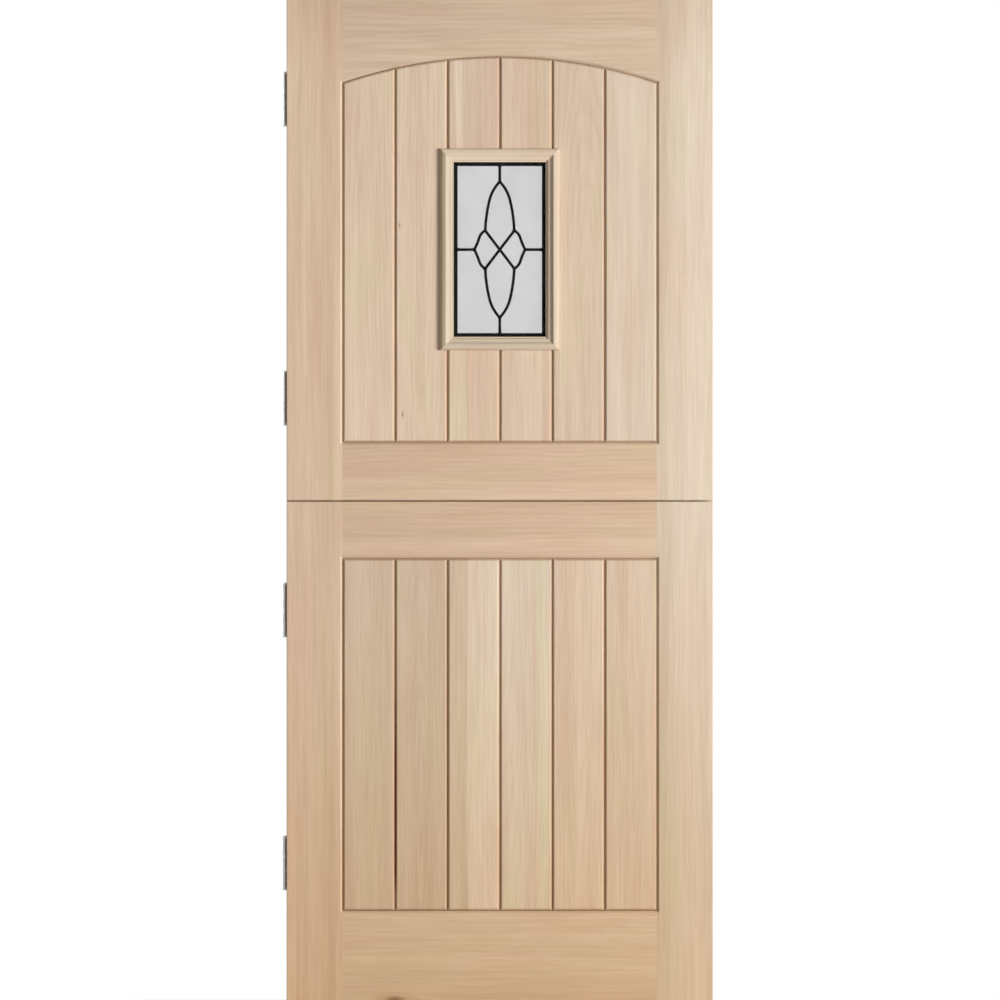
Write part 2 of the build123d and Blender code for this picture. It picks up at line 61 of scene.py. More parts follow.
# Places taken from the frame
DOOR_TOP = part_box("head_rail")[1].z
OUTSIDE_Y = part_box("foot_rail")[0].y
HALF_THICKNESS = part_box("foot_rail")[1].y
LEADED_LOW, LEADED_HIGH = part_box("lead_cames")
LIGHT_X = (LEADED_LOW.x + LEADED_HIGH.x) / 2
LIGHT_Z = (LEADED_LOW.z + LEADED_HIGH.z) / 2
HALF_LEADED = Vector((LEADED_HIGH.x - LIGHT_X, LEADED_HIGH.z - LIGHT_Z))
QUARRY_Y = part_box("leaded_glass_pieces")[1].y

# The camera is level, square on, and so far off that the door's edges don't show
PHOTO_SPAN = 1.966  # height and width of the picture on the outside face
PHOTO_CENTRE = Vector((0.5 * MM, OUTSIDE_Y, 990.4 * MM))
CAMERA_LENS = 600.0
SENSOR_WIDTH = 36.0
CAMERA_REACH = 80.0

# The key lamp stands to the right, so that each V joint has a lit side and a dark one, and the
# rear lamp lights the inside face. An angle is from straight in front of the door, to the right
KEY_LAMP = dict(distance=8.0, angle=math.radians(49), height=1.3, size=2.7, share=0.74)
REAR_LAMP = dict(distance=4.5, angle=math.radians(215), height=1.9, size=2.2, share=0.62)
LAMP_TARGET = Vector((0, 0, 1.15))
WORLD_FILL = 0.22

FLOOR_HALF_WIDTH = 1.7
FLOOR_FRONT = -2.2
FLOOR_BACK = 0.3
FLOOR_DROP = 0.2 * MM
FLOOR_GLOW = 0.5
FLOOR_SPECKS = (60.0, 60.0, 60.0)
FLOOR_TONES = ((0.80, 0.80, 0.80, 1.0), (0.84, 0.84, 0.84, 1.0))


# Colours and shader nodes
PALEST = 0.95

# Sockets of a mix node that mixes colours: its factor and two colours, and its result
MIX_COLOUR_INPUTS = (0, 6, 7)
MIX_COLOUR_OUTPUT = 2


def rgb(red, green, blue):
    """A linear colour from its values on a screen, 0 to 255, by the sRGB curve."""
    shares = [value / 255 for value in (red, green, blue)]
    return tuple(s / 12.92 if s <= 0.04045 else ((s + 0.055) / 1.055) ** 2.4 for s in shares)


def times(colour, factors):
    """The colour with each part scaled, held below white, with an alpha of 1."""
    return (*(min(part * factor, PALEST) for part, factor in zip(colour, factors)), 1.0)


class Graph:
    """The shader nodes of one material or world, with short calls for the kinds used here."""

    def __init__(self, owner, output_kind="ShaderNodeOutputMaterial"):
        self.owner = owner
        self.owner.use_nodes = True
        self.tree = self.owner.node_tree
        self.tree.nodes.clear()
        self.output = self.add(output_kind)

    def add(self, kind, **settings):
        node = self.tree.nodes.new(kind)
        for key, value in settings.items():
            setattr(node, key, value)
        return node

    def feed(self, socket, value):
        """Link the socket to value if that is a socket too, or else set it to value."""
        if isinstance(value, bpy.types.NodeSocket):
            self.tree.links.new(value, socket)
        else:
            socket.default_value = value

    def math(self, operation, *values):
        node = self.add("ShaderNodeMath", operation=operation)
        for socket, value in zip(node.inputs, values):
            self.feed(socket, value)
        return node.outputs[0]

    def ramp(self, value, start, end, low=0.0, high=1.0):
        """low up to start, high from end on, and a smooth step between."""
        node = self.add("ShaderNodeMapRange", interpolation_type="SMOOTHSTEP")
        for socket, given in zip(node.inputs, (value, start, end, low, high)):
            self.feed(socket, given)
        return node.outputs[0]

    def length(self, a, b):
        squares = [self.math("MULTIPLY", part, part) for part in (a, b)]
        return self.math("SQRT", self.math("ADD", *squares))

    def joined(self, x, y, z):
        node = self.add("ShaderNodeCombineXYZ")
        for socket, value in zip(node.inputs, (x, y, z)):
            self.feed(socket, value)
        return node.outputs[0]

    def place(self):
        """The point on the object, as it lies at rest."""
        return self.add("ShaderNodeTexCoord").outputs["Object"]

    def split_place(self):
        """That point's X, Y and Z."""
        node = self.add("ShaderNodeSeparateXYZ")
        self.feed(node.inputs[0], self.place())
        return node.outputs

    def noise(self, point, per_metre, shift, detail=2.0, rough=0.5):
        """Noise that changes so many times a metre along each axis."""
        moved = self.add("ShaderNodeVectorMath", operation="MULTIPLY_ADD")
        for socket, value in zip(moved.inputs, (point, per_metre, shift)):
            self.feed(socket, value)
        node = self.add("ShaderNodeTexNoise")
        self.feed(node.inputs["Vector"], moved.outputs[0])
        node.inputs["Scale"].default_value = 1.0
        node.inputs["Detail"].default_value = detail
        node.inputs["Roughness"].default_value = rough
        return node.outputs["Fac"]

    def mix(self, share, first, second, blend="MIX"):
        node = self.add("ShaderNodeMix", data_type="RGBA", blend_type=blend)
        for index, value in zip(MIX_COLOUR_INPUTS, (share, first, second)):
            self.feed(node.inputs[index], value)
        return node.outputs[MIX_COLOUR_OUTPUT]

    def tinted(self, colour, share, tone):
        """The colour, taken towards itself times tone by that share."""
        return self.mix(share, colour, tone, "MULTIPLY")

    def bump(self, height, distance, strength):
        node = self.add("ShaderNodeBump")
        node.inputs["Strength"].default_value = strength
        node.inputs["Distance"].default_value = distance
        self.feed(node.inputs["Height"], height)
        return node.outputs[0]

    def shader(self, kind, **values):
        """A shader with its sockets set by their names in small letters."""
        node = self.add(kind)
        known = {socket.name.lower().replace(" ", "_"): socket for socket in node.inputs}
        for key, value in values.items():
            self.feed(known[key], value)
        return node.outputs[0]

    def principled(self, **values):
        return self.shader("ShaderNodeBsdfPrincipled", **values)

    def show(self, surface):
        self.feed(self.output.inputs["Surface"], surface)
        return self.owner


def material_graph(name):
    return Graph(bpy.data.materials.new(name))


# Tones of the oak
HONEY = rgb(207, 178, 151)
WHEAT = rgb(207, 181, 156)
TAN = rgb(209, 186, 161)
SAND = rgb(215, 192, 168)
CREAM = rgb(218, 199, 177)
BEAD = rgb(212, 193, 170)

# What multiplies those tones in the streaks, the clouds, the pores, the knots and the browner foot,
# and in the painted shade at the door's head, in the V joints and in the open joint
DARK_GRAIN = (0.885, 0.855, 0.825)
LIGHT_GRAIN = (1.075, 1.09, 1.105)
RUDDY = (0.985, 0.925, 0.905, 1.0)
OLIVE = (0.985, 1.015, 0.955, 1.0)
FOOT_TONE = (0.83, 0.72, 0.56, 1.0)
# Painted shade at the door's head, where the light falls off
HEAD_SHADE_TONE = (0.92, 0.90, 0.88, 1.0)
PORE_TONE = (0.45, 0.38, 0.32, 1.0)
# Painted shade in the V joints
GROOVE_SHADE_TONE = (0.72, 0.635, 0.545, 1.0)
EYE_RIM = (0.80, 0.74, 0.64, 1.0)
EYE_HEART = (0.46, 0.36, 0.28, 1.0)
# Painted shade, red-brown, in the open joint between lower boards 1 and 2
JOINT_SHADE_TONE = (0.44, 0.17, 0.11, 1.0)

# And in the strips that run along a board
PALER = (1.10, 1.13, 1.16, 1.0)
GREENER = (1.00, 1.07, 0.99, 1.0)
PINKER = (0.99, 0.93, 0.92, 1.0)
DARKER = (0.86, 0.83, 0.77, 1.0)
# Painted light: warm light bounced off the boards into a shaded slope
WARM_BOUNCE = (1.06, 1.01, 0.86, 1.0)

# The noise behind the oak's figure: how often it changes a metre, along the grain and across it
NOISE_SHIFT = 40
WANDER_NOISE = (1.8, 6.0, 6.0)
BROAD_NOISE = (1.2, 42.0, 42.0)
MIDDLE_NOISE = (8.0, 200.0, 200.0)
FINE_NOISE = (26.0, 1100.0, 1100.0)
RIPPLE_NOISE = (5.0, 20.0, 20.0)
CLOUD_NOISE = (3.0, 17.0, 17.0)
PORE_NOISE = (90.0, 2500.0, 2500.0)
WANDER = 18 * MM  # how far the grain strays across a board, from side to side
RIPPLE_TURNS = 2.2  # how many rings the ripple moves one by

# How much each layer of streaks and the rings move the tone from dark grain to light
BROAD_SHARE = 0.80
MIDDLE_SHARE = 0.80
FINE_SHARE = 0.13
RING_SHARE = 0.35
SHADE_RANGE = (0.05, 0.95)
RING_LIGHT = 0.6  # where in a ring its wood is at its lightest, and where it starts to darken
RING_DARKENS = 0.72

# Where in its noise a tone starts and is full, or the other way round, and how strong it gets
RUDDY_RANGE = (0.46, 0.68)
RUDDY_SHARE = 0.60
OLIVE_RANGE = (0.32, 0.50)
OLIVE_SHARE = 0.90
PORE_RANGE = (0.62, 0.74)
PORE_SHARE = 0.25
FOOT_REACH = DOOR_TOP / 2
FOOT_SHARE = 0.75
# How far down the painted shade at the door's head reaches
HEAD_SHADE_REACH = 160 * MM
# The painted shade in the V joints fades out towards the face
GROOVE_SHADE_DEPTHS = mm(3.5, 0.2)  # below the face: where the joints' tone is full, and where it ends

# Knots, in radii of the knot
EYE_STRETCH = 3.0
EYE_PULL = 0.9
EYE_PULL_RANGE = (0.5, 5.0)
EYE_RIM_RANGE = (0.8, 2.6)
EYE_RIM_SHARE = 0.55
EYE_HEART_RANGE = (0.2, 1.1)
EYE_HEART_SHARE = 0.9

# The painted shade in an open joint, in a red-brown
JOINT_SHADE_EDGES = mm(1.6, 3.0)  # out from the joint's middle
JOINT_SHADE_SHARE = 0.95
JOINT_SHADE_STARTS_OVER = 60 * MM
JOINT_SHADE_ENDS_OVER = 250 * MM

OAK_ROUGHNESS = (0.70, 0.56)  # of the dark grain and of the light
OAK_RELIEF = 0.08 * MM
MIDDLE_RELIEF = 0.5
PORE_RELIEF = -1.0

# The rings peak at a place along and across the grain, by the slope of the pith behind the face,
# and there are so many a metre. A strip lies across the grain from low to high, with a soft edge.
# A painted shade lies in an open joint at across, from low to high along it.
Peak = namedtuple("Peak", "along across slope rings")
Strip = namedtuple("Strip", "low high edge tone share")
Eye = namedtuple("Eye", "along across radius")
JointShade = namedtuple("JointShade", "across low high")


class Wood(Graph):
    """The nodes of one piece of oak, with its grain upright, or level for a rail."""

    def __init__(self, name, level, eyes):
        super().__init__(bpy.data.materials.new(name))
        draw = random.Random(f"{RANDOM_SEED} {name}")
        self.shift = tuple(draw.uniform(-NOISE_SHIFT, NOISE_SHIFT) for _ in range(3))
        x, self.depth, self.z = self.split_place()
        self.along, self.across = (x, self.z) if level else (self.z, x)
        self.straight = self.joined(self.along, self.across, self.depth)
        wander = self.noise(self.straight, WANDER_NOISE, self.shift, detail=1.0)
        strayed = self.math("MULTIPLY_ADD", wander, WANDER, -WANDER / 2)
        self.moved = self.math("ADD", self.across, strayed)
        self.eye_reaches = [self.bend_round(eye) for eye in eyes]
        self.point = self.joined(self.along, self.moved, self.depth)

    def bend_round(self, eye):
        """Bend the grain round a knot, and give each point's distance from it in radii."""
        up = self.math("SUBTRACT", self.along, eye.along)
        side = self.math("SUBTRACT", self.across, eye.across)
        reach = self.length(
            self.math("DIVIDE", up, eye.radius * EYE_STRETCH),
            self.math("DIVIDE", side, eye.radius),
        )
        pull = self.ramp(reach, *EYE_PULL_RANGE, -EYE_PULL * eye.radius, 0.0)
        self.moved = self.math("MULTIPLY_ADD", self.math("SIGN", side), pull, self.moved)
        return reach

    def grain(self, per_metre, detail=2.0, rough=0.5):
        """Noise that follows the grain as it wanders."""
        return self.noise(self.point, per_metre, self.shift, detail, rough)

    def growth_rings(self, peak):
        """0 where one ring ends and the next begins, 1 in the lighter wood between."""
        behind = self.math("MULTIPLY", self.math("SUBTRACT", self.along, peak.along), peak.slope)
        reach = self.length(self.math("SUBTRACT", self.moved, peak.across), behind)
        ripple = self.grain(RIPPLE_NOISE, detail=3.0)
        even = self.math("MULTIPLY", reach, peak.rings)
        turns = self.math("FRACT", self.math("MULTIPLY_ADD", ripple, RIPPLE_TURNS, even))
        lightens = self.ramp(turns, 0.0, RING_LIGHT)
        darkens = self.ramp(turns, RING_DARKENS, 1.0, 1.0, 0.0)
        return self.math("MULTIPLY", lightens, darkens)

    def clouded_and_head_shaded(self, colour):
        """Clouds of a ruddier and a greener tone, a browner foot to the door, and painted shade that
        darkens the door's head, where the light falls off.
        """
        cloud = self.noise(self.straight, CLOUD_NOISE, self.shift)
        colour = self.tinted(colour, self.ramp(cloud, *RUDDY_RANGE, 0.0, RUDDY_SHARE), RUDDY)
        colour = self.tinted(colour, self.ramp(cloud, *OLIVE_RANGE, OLIVE_SHARE, 0.0), OLIVE)
        colour = self.tinted(colour, self.ramp(self.z, 0.0, FOOT_REACH, FOOT_SHARE, 0.0), FOOT_TONE)
        # Painted shade: the head of the door darker, where the light falls off
        return self.tinted(colour, self.ramp(self.z, DOOR_TOP - HEAD_SHADE_REACH, DOOR_TOP), HEAD_SHADE_TONE)

    def striped(self, colour, strips):
        for low, high, edge, tone, share in strips:
            entered = self.ramp(self.moved, low - edge, low + edge, 0.0, share)
            still_in = self.ramp(self.moved, high - edge, high + edge, 1.0, 0.0)
            colour = self.tinted(colour, self.math("MULTIPLY", entered, still_in), tone)
        return colour

    def grooved(self, colour):
        """Painted shade: a darker tone on what lies below the face, in the V joints, where shade
        falls.
        """
        deepest, shallowest = (HALF_THICKNESS - depth for depth in GROOVE_SHADE_DEPTHS)
        from_middle = self.math("ABSOLUTE", self.depth)
        return self.tinted(colour, self.ramp(from_middle, deepest, shallowest, 1.0, 0.0), GROOVE_SHADE_TONE)

    def knotted(self, colour):
        for reach in self.eye_reaches:
            rim = self.ramp(reach, *EYE_RIM_RANGE, EYE_RIM_SHARE, 0.0)
            heart = self.ramp(reach, *EYE_HEART_RANGE, EYE_HEART_SHARE, 0.0)
            colour = self.tinted(self.tinted(colour, rim, EYE_RIM), heart, EYE_HEART)
        return colour

    def joint_shaded(self, colour, joint_shade):
        # Painted shade: a red-brown tone where the joint stands open and shade falls in the gap
        off = self.math("ABSOLUTE", self.math("SUBTRACT", self.across, joint_shade.across))
        shade_mask = self.ramp(off, *JOINT_SHADE_EDGES, JOINT_SHADE_SHARE, 0.0)
        starts = self.ramp(self.along, joint_shade.low, joint_shade.low + JOINT_SHADE_STARTS_OVER)
        ends = self.ramp(self.along, joint_shade.high - JOINT_SHADE_ENDS_OVER, joint_shade.high, 1.0, 0.0)
        shade_mask = self.math("MULTIPLY", self.math("MULTIPLY", shade_mask, starts), ends)
        return self.tinted(colour, shade_mask, JOINT_SHADE_TONE)


def oak(name, tone, lift, rings, level=False, peak=Peak(1.0, 0.0, 0.07, 150.0), strips=(), eyes=(),
        joint_shade=None, grooved=False):
    """Pale sanded oak. lift scales its tone, and rings is how much the growth rings show."""
    wood = Wood(name, level, eyes)
    middle = wood.grain(MIDDLE_NOISE, detail=2.5)
    fine = wood.grain(FINE_NOISE, rough=0.6)
    layers = (
        (wood.grain(BROAD_NOISE), BROAD_SHARE),
        (middle, MIDDLE_SHARE),
        (fine, FINE_SHARE),
        (wood.growth_rings(peak), RING_SHARE * rings),
    )
    value = 0.5 - sum(share for _, share in layers) / 2
    for layer, share in layers:
        value = wood.math("MULTIPLY_ADD", layer, share, value)

    base = tuple(part * lift for part in tone)
    shade = wood.ramp(value, *SHADE_RANGE)
    colour = wood.mix(shade, times(base, DARK_GRAIN), times(base, LIGHT_GRAIN))
    colour = wood.striped(wood.clouded_and_head_shaded(colour), strips)

    # Pores are short dark dashes, a little sunk
    pores = wood.ramp(wood.grain(PORE_NOISE, detail=1.0), *PORE_RANGE)
    colour = wood.tinted(colour, wood.math("MULTIPLY", pores, PORE_SHARE), PORE_TONE)
    # Painted shade in the V joints, below the face
    if grooved:
        colour = wood.grooved(colour)
    colour = wood.knotted(colour)
    # Painted shade in an open joint
    if joint_shade:
        colour = wood.joint_shaded(colour, joint_shade)

    relief = wood.math("MULTIPLY_ADD", pores, PORE_RELIEF, fine)
    relief = wood.math("MULTIPLY_ADD", middle, MIDDLE_RELIEF, relief)
    return wood.show(wood.principled(
        base_color=colour,
        roughness=wood.ramp(value, 0.0, 1.0, *OAK_ROUGHNESS),
        specular_ior_level=0.3,
        normal=wood.bump(relief, OAK_RELIEF, strength=0.4),
    ))


SOFTWOOD_TONES = ((0.80, 0.63, 0.40, 1.0), (0.68, 0.48, 0.27, 1.0))
SOFTWOOD_RINGS = 90.0  # a metre
SOFTWOOD_WARP = 3.0  # in rings
SAW_MARKS = (700.0, 30.0, 30.0)


def softwood(name):
    """Sawn softwood of the cores and liners, with broad rings and saw marks."""
    graph = material_graph(name)
    x, depth, z = graph.split_place()
    point = graph.joined(z, x, depth)
    warp = graph.noise(point, (2.0, 9.0, 9.0), shift=(3.0, 5.0, 7.0))
    even = graph.math("MULTIPLY", x, SOFTWOOD_RINGS)
    rings = graph.math("FRACT", graph.math("MULTIPLY_ADD", warp, SOFTWOOD_WARP, even))
    saw = graph.noise(point, SAW_MARKS, shift=(1.0, 2.0, 3.0))
    return graph.show(graph.principled(
        base_color=graph.mix(graph.ramp(rings, 0.1, 0.9), *SOFTWOOD_TONES),
        roughness=graph.ramp(saw, 0.3, 0.7, 0.70, 0.85),
        specular_ior_level=0.25,
        normal=graph.bump(saw, 0.15 * MM, strength=0.6),
    ))


SPECKS_A_PATCH = 9
MOTTLE_RANGE = (0.3, 0.7)


def mottled(name, dark, light, patches, roughness, metallic=0.0, grain=(1.0, 1.0, 1.0),
            depth=0.05 * MM, specular=0.5):
    """One substance in patches of two near tones, with finer specks in its relief and roughness.

    patches is how many there are a metre, which grain stretches, and depth is the relief's.
    """
    graph = material_graph(name)
    patch_noise = tuple(patches * part for part in grain)
    speck_noise = tuple(part * SPECKS_A_PATCH for part in patch_noise)
    tones = graph.noise(graph.place(), patch_noise, shift=(2.0, 3.0, 5.0), detail=4.0, rough=0.6)
    specks = graph.noise(graph.place(), speck_noise, shift=(7.0, 1.0, 4.0))
    return graph.show(graph.principled(
        base_color=graph.mix(graph.ramp(tones, *MOTTLE_RANGE), (*dark, 1.0), (*light, 1.0)),
        roughness=graph.ramp(specks, *MOTTLE_RANGE, *roughness),
        metallic=metallic,
        specular_ior_level=specular,
        normal=graph.bump(specks, depth, strength=0.5),
    ))


CLEAR_TINT = (0.985, 0.99, 0.987, 1.0)
CLEAR_SHADE = (0.97, 0.975, 0.972, 1.0)  # of the light that passes on to what is behind
OBSCURE_TINTS = ((0.680, 0.664, 0.669, 1.0), (0.736, 0.720, 0.725, 1.0))
DIMPLE_TINT = (0.80, 0.80, 0.81, 1.0)
DIMPLES = 420.0  # a metre


def clear_glass(name):
    """Float glass that lets lamps through, with a faint wave in its surface."""
    graph = material_graph(name)
    wave = graph.noise(graph.place(), (14.0, 14.0, 9.0), shift=(1.0, 4.0, 2.0))
    glass = graph.principled(
        base_color=CLEAR_TINT,
        roughness=0.0,
        ior=1.12,
        transmission_weight=1.0,
        normal=graph.bump(wave, 0.2 * MM, strength=0.2),
    )
    through = graph.shader("ShaderNodeBsdfTransparent", color=CLEAR_SHADE)
    path = graph.add("ShaderNodeLightPath").outputs
    lamps = graph.math("MAXIMUM", path["Is Shadow Ray"], path["Is Diffuse Ray"])
    mixed = graph.add("ShaderNodeMixShader")
    for socket, value in zip(mixed.inputs, (lamps, glass, through)):
        graph.feed(socket, value)
    return graph.show(mixed.outputs[0])


def stippled_glass(name):
    """Obscure glass, with a close field of small round dimples."""
    graph = material_graph(name)
    dimples = graph.add("ShaderNodeTexVoronoi", feature="SMOOTH_F1")
    graph.feed(dimples.inputs["Vector"], graph.place())
    dimples.inputs["Scale"].default_value = DIMPLES
    dimples.inputs["Smoothness"].default_value = 0.4
    cloud = graph.noise(graph.place(), (16.0, 16.0, 16.0), shift=(2.0, 8.0, 1.0))
    height = graph.ramp(dimples.outputs["Distance"], 0.0, 0.8)
    tint = graph.mix(graph.ramp(cloud, 0.3, 0.7), *OBSCURE_TINTS)
    return graph.show(graph.principled(
        base_color=graph.mix(graph.ramp(height, 0.2, 0.9, 0.0, 0.35), tint, DIMPLE_TINT),
        roughness=0.38,
        ior=1.45,
        transmission_weight=0.93,
        normal=graph.bump(height, 0.35 * MM, strength=0.5),
    ))


def strip(low, high, edge, tone, share):
    """A strip with its first three lengths in millimetres."""
    return Strip(*mm(low, high, edge), tone, share)


# The looks of the oak pieces
LEFT_EYES = (Eye(*mm(1531, -197, 1.5)), Eye(*mm(1158.5, -191, 1.8)))
FOOT_EYE = Eye(*mm(-206, 8, 8))
# Painted shade in the open joint between lower boards 1 and 2
OPEN_JOINT = JointShade(*mm(-205, 204, 695))

stile_inner_left = strip(-352, -322, 5, DARKER, 0.35)
stile_inner_right = strip(300, 330, 6, DARKER, 0.55)
stile_outer_right = strip(364, 440, 8, PALER, 0.35)
frame_oak = {
    "lower_hinge_stile": dict(
        tone=WHEAT, lift=1.12, rings=0.15, peak=Peak(0.2, -0.44, 0.02, 120.0),
        strips=(stile_inner_left,),
    ),
    "upper_hinge_stile": dict(
        tone=WHEAT, lift=1.18, rings=0.15, peak=Peak(2.2, -0.46, 0.02, 120.0),
        strips=(stile_inner_left,),
    ),
    "lower_lock_stile": dict(
        tone=CREAM, lift=0.985, rings=0.15, peak=Peak(0.3, 0.47, 0.02, 120.0),
        strips=(stile_inner_right, stile_outer_right),
    ),
    "upper_lock_stile": dict(
        tone=CREAM, lift=1.015, rings=0.15, peak=Peak(1.9, 0.46, 0.02, 120.0),
        strips=(stile_inner_right, stile_outer_right),
    ),
    "head_rail": dict(
        tone=TAN, lift=1.05, rings=0.45, level=True, peak=Peak(0.05, 1.88, 0.05, 105.0),
    ),
    "upper_meeting_rail": dict(
        tone=HONEY, lift=1.05, rings=0.3, level=True, peak=Peak(-0.3, 1.13, 0.04, 105.0),
        strips=(strip(980, 1026, 8, PALER, 0.45),),
    ),
    "lower_meeting_rail": dict(
        tone=HONEY, lift=1.03, rings=0.3, level=True, peak=Peak(0.2, 0.86, 0.04, 105.0),
        strips=(strip(860, 916, 6, PALER, 0.65),),
    ),
    "foot_rail": dict(
        tone=TAN, lift=1.09, rings=0.15, level=True, peak=Peak(0.1, 0.05, 0.06, 105.0),
        strips=(strip(-20, 56, 12, DARKER, 0.35),), eyes=(FOOT_EYE,),
    ),
}

pink_strip = strip(-62, -3, 6, PINKER, 0.6)
board_oak = {
    "upper_outer_board_1": dict(tone=SAND, lift=1.10, rings=0.4, peak=Peak(1.2, -0.27, 0.03, 150.0)),
    "upper_outer_board_2": dict(
        tone=SAND, lift=1.07, rings=0.5, peak=Peak(1.6, -0.15, 0.05, 150.0), eyes=LEFT_EYES,
    ),
    "upper_outer_board_3_above_light": dict(
        tone=SAND, lift=1.01, rings=0.2, strips=(strip(-87, -72, 3, PALER, 0.9), pink_strip),
    ),
    "upper_outer_board_3_below_light": dict(
        tone=SAND, lift=1.05, rings=0.2, strips=(strip(-99, -62, 3, GREENER, 0.7), pink_strip),
    ),
    "upper_outer_board_4_above_light": dict(
        tone=SAND, lift=1.05, rings=0.2, strips=(strip(56, 104, 3, DARKER, 0.55),),
    ),
    "upper_outer_board_4_below_light": dict(
        tone=SAND, lift=1.02, rings=0.2,
        strips=(strip(72, 80, 3, PALER, 0.8), strip(84, 98, 4, PINKER, 0.9)),
    ),
    "upper_outer_board_5": dict(tone=SAND, lift=1.00, rings=0.4, peak=Peak(1.3, 0.17, 0.08, 150.0)),
    "upper_outer_board_6": dict(tone=CREAM, lift=1.015, rings=0.2),
    "lower_outer_board_1": dict(tone=TAN, lift=1.01, rings=0.3, joint_shade=OPEN_JOINT),
    "lower_outer_board_2": dict(
        tone=TAN, lift=0.99, rings=0.4, peak=Peak(0.4, -0.155, 0.06, 150.0), joint_shade=OPEN_JOINT,
    ),
    "lower_outer_board_3": dict(
        tone=CREAM, lift=1.07, rings=0.2, strips=(strip(-103, -62, 2, DARKER, 1.0),),
    ),
    "lower_outer_board_4": dict(
        tone=CREAM, lift=1.01, rings=0.3,
        strips=(strip(70, 90, 4, GREENER, 0.9), strip(64, 69, 2, PINKER, 0.8)),
    ),
    "lower_outer_board_5": dict(tone=SAND, lift=1.045, rings=0.4, peak=Peak(0.7, 0.16, 0.05, 150.0)),
    "lower_outer_board_6": dict(tone=SAND, lift=1.01, rings=0.4, peak=Peak(0.5, 0.26, 0.04, 150.0)),
    "upper_inner_boards": dict(tone=SAND, lift=1.00, rings=0.5, peak=Peak(1.4, 0.05, 0.09, 90.0)),
    "lower_inner_boards": dict(tone=SAND, lift=0.98, rings=0.5, peak=Peak(0.5, -0.05, 0.09, 90.0)),
}
# Every board gets painted shade in its V joints
for look in board_oak.values():
    look["grooved"] = True

# Painted light and shade: each side of the moulding made lighter or darker as the light falls on that
# side, with the same lifts inside and out
bead_side_light_lifts = {"left": 0.90, "right": 0.93, "top": 1.16, "bottom": 1.01}
bead_oak = {}
for face in ("inner", "outer"):
    for side, lift in bead_side_light_lifts.items():
        level = side in ("top", "bottom")
        bead_oak[f"{face}_bead_{side}"] = dict(tone=BEAD, lift=lift, rings=0.0, level=level)
# Painted light: the left bead's outer slope, which lies in shade, made warmer as if lit by light
# bounced off the boards
bead_oak["outer_bead_left"]["strips"] = (strip(-130, -109, 2, WARM_BOUNCE, 1.0),)


def finish(names, material):
    """Give each named piece of the frame this material alone."""
    for name in names:
        piece = nodes[name]
        piece.data.materials.clear()
        piece.data.materials.append(material)


for name, look in {**frame_oak, **board_oak, **bead_oak}.items():
    finish([name], oak(name, **look))

satin_steel = mottled(
    "satin_steel", dark=(0.40, 0.39, 0.37), light=(0.50, 0.49, 0.47), patches=40.0,
    roughness=(0.34, 0.50), metallic=1.0, grain=(0.3, 1.0, 4.0),
)
zinc = mottled(
    "zinc", dark=(0.38, 0.37, 0.33), light=(0.50, 0.48, 0.42), patches=300.0,
    roughness=(0.30, 0.45), metallic=1.0,
)
black_spacer = mottled(
    "black_spacer", dark=(0.020, 0.020, 0.021), light=(0.035, 0.035, 0.037), patches=200.0,
    roughness=(0.35, 0.5),
)
sealant = mottled(
    "sealant", dark=(0.012, 0.012, 0.012), light=(0.028, 0.028, 0.027), patches=150.0,
    roughness=(0.5, 0.8),
)
tape = mottled(
    "tape", dark=(0.020, 0.020, 0.020), light=(0.040, 0.040, 0.039), patches=350.0,
    roughness=(0.7, 0.9),
)
block = mottled(
    "block", dark=(0.05, 0.05, 0.055), light=(0.09, 0.09, 0.095), patches=250.0,
    roughness=(0.45, 0.6),
)
brown_rubber = mottled(
    "seal", dark=(0.11, 0.075, 0.05), light=(0.16, 0.115, 0.08), patches=220.0,
    roughness=(0.5, 0.7),
)
black_lead = mottled(
    "black_lead", dark=(0.003, 0.003, 0.003), light=(0.008, 0.008, 0.008), patches=260.0,
    roughness=(0.5, 0.7), depth=0.12 * MM, specular=0.04,
)

plates = [name for name in nodes if name.endswith("_plate")]
screws = [name for name in nodes if name.endswith("_hinge_screws")]
finish(["upper_core", "lower_core", "glazing_liners"], softwood("softwood"))
finish(["glass_outer_pane", "glass_inner_pane"], clear_glass("clear_glass"))
finish(["leaded_glass_pieces"], stippled_glass("obscure_glass"))
finish(plates + ["hinge_pins"], satin_steel)
finish(screws, zinc)
finish(["glass_outer_spacer", "glass_inner_spacer"], black_spacer)
finish(["glass_edge_seal"], sealant)
finish(["outer_glazing_tape", "inner_glazing_tape"], tape)
finish(["setting_blocks"], block)
finish(["meeting_seal"], brown_rubber)


# The leaded light's cames, as X and Z about the light's middle
LENS_TIP = Vector(mm(0, 133.5))
LENS_SHOULDER = Vector(mm(20.2, 97.1))
LENS_LEAN = math.radians(13.7)
LENS_FOOT = Vector(mm(28.5, 37.3))
DIAMOND_SHOULDER = Vector(mm(40.3, 23.4))
DIAMOND_LEAN = math.radians(17)
DIAMOND_TIP = Vector(mm(50, 0))
BORDER_WIDTH = 14 * MM
BORDER_SLOPE = 1.8 * MM
BORDER_OVERLAP = 2 * MM  # how far a came runs in under the border's flange
CAME_WIDTH = 5.4 * MM
HEART_WIDTH = 1.5 * MM
FLANGE_EDGE = 0.35 * MM  # how far a flange stands up from the glass, at its edge and its middle
FLANGE_CROWN = 1.0 * MM
ARC_STEPS = 18
DOME_STEPS = 8

SOLDER_RADIUS = 3.6 * MM
SOLDER_SIZES = (0.88, 1.1)
SOLDER_RISE = 0.55 * MM
SOLDER_LOBES = (2, 3, 5)  # waves round a dome's edge
SOLDER_SWELL = (0.03, 0.10)
SOLDER_SPOKES = 20
SOLDER_RINGS = 5


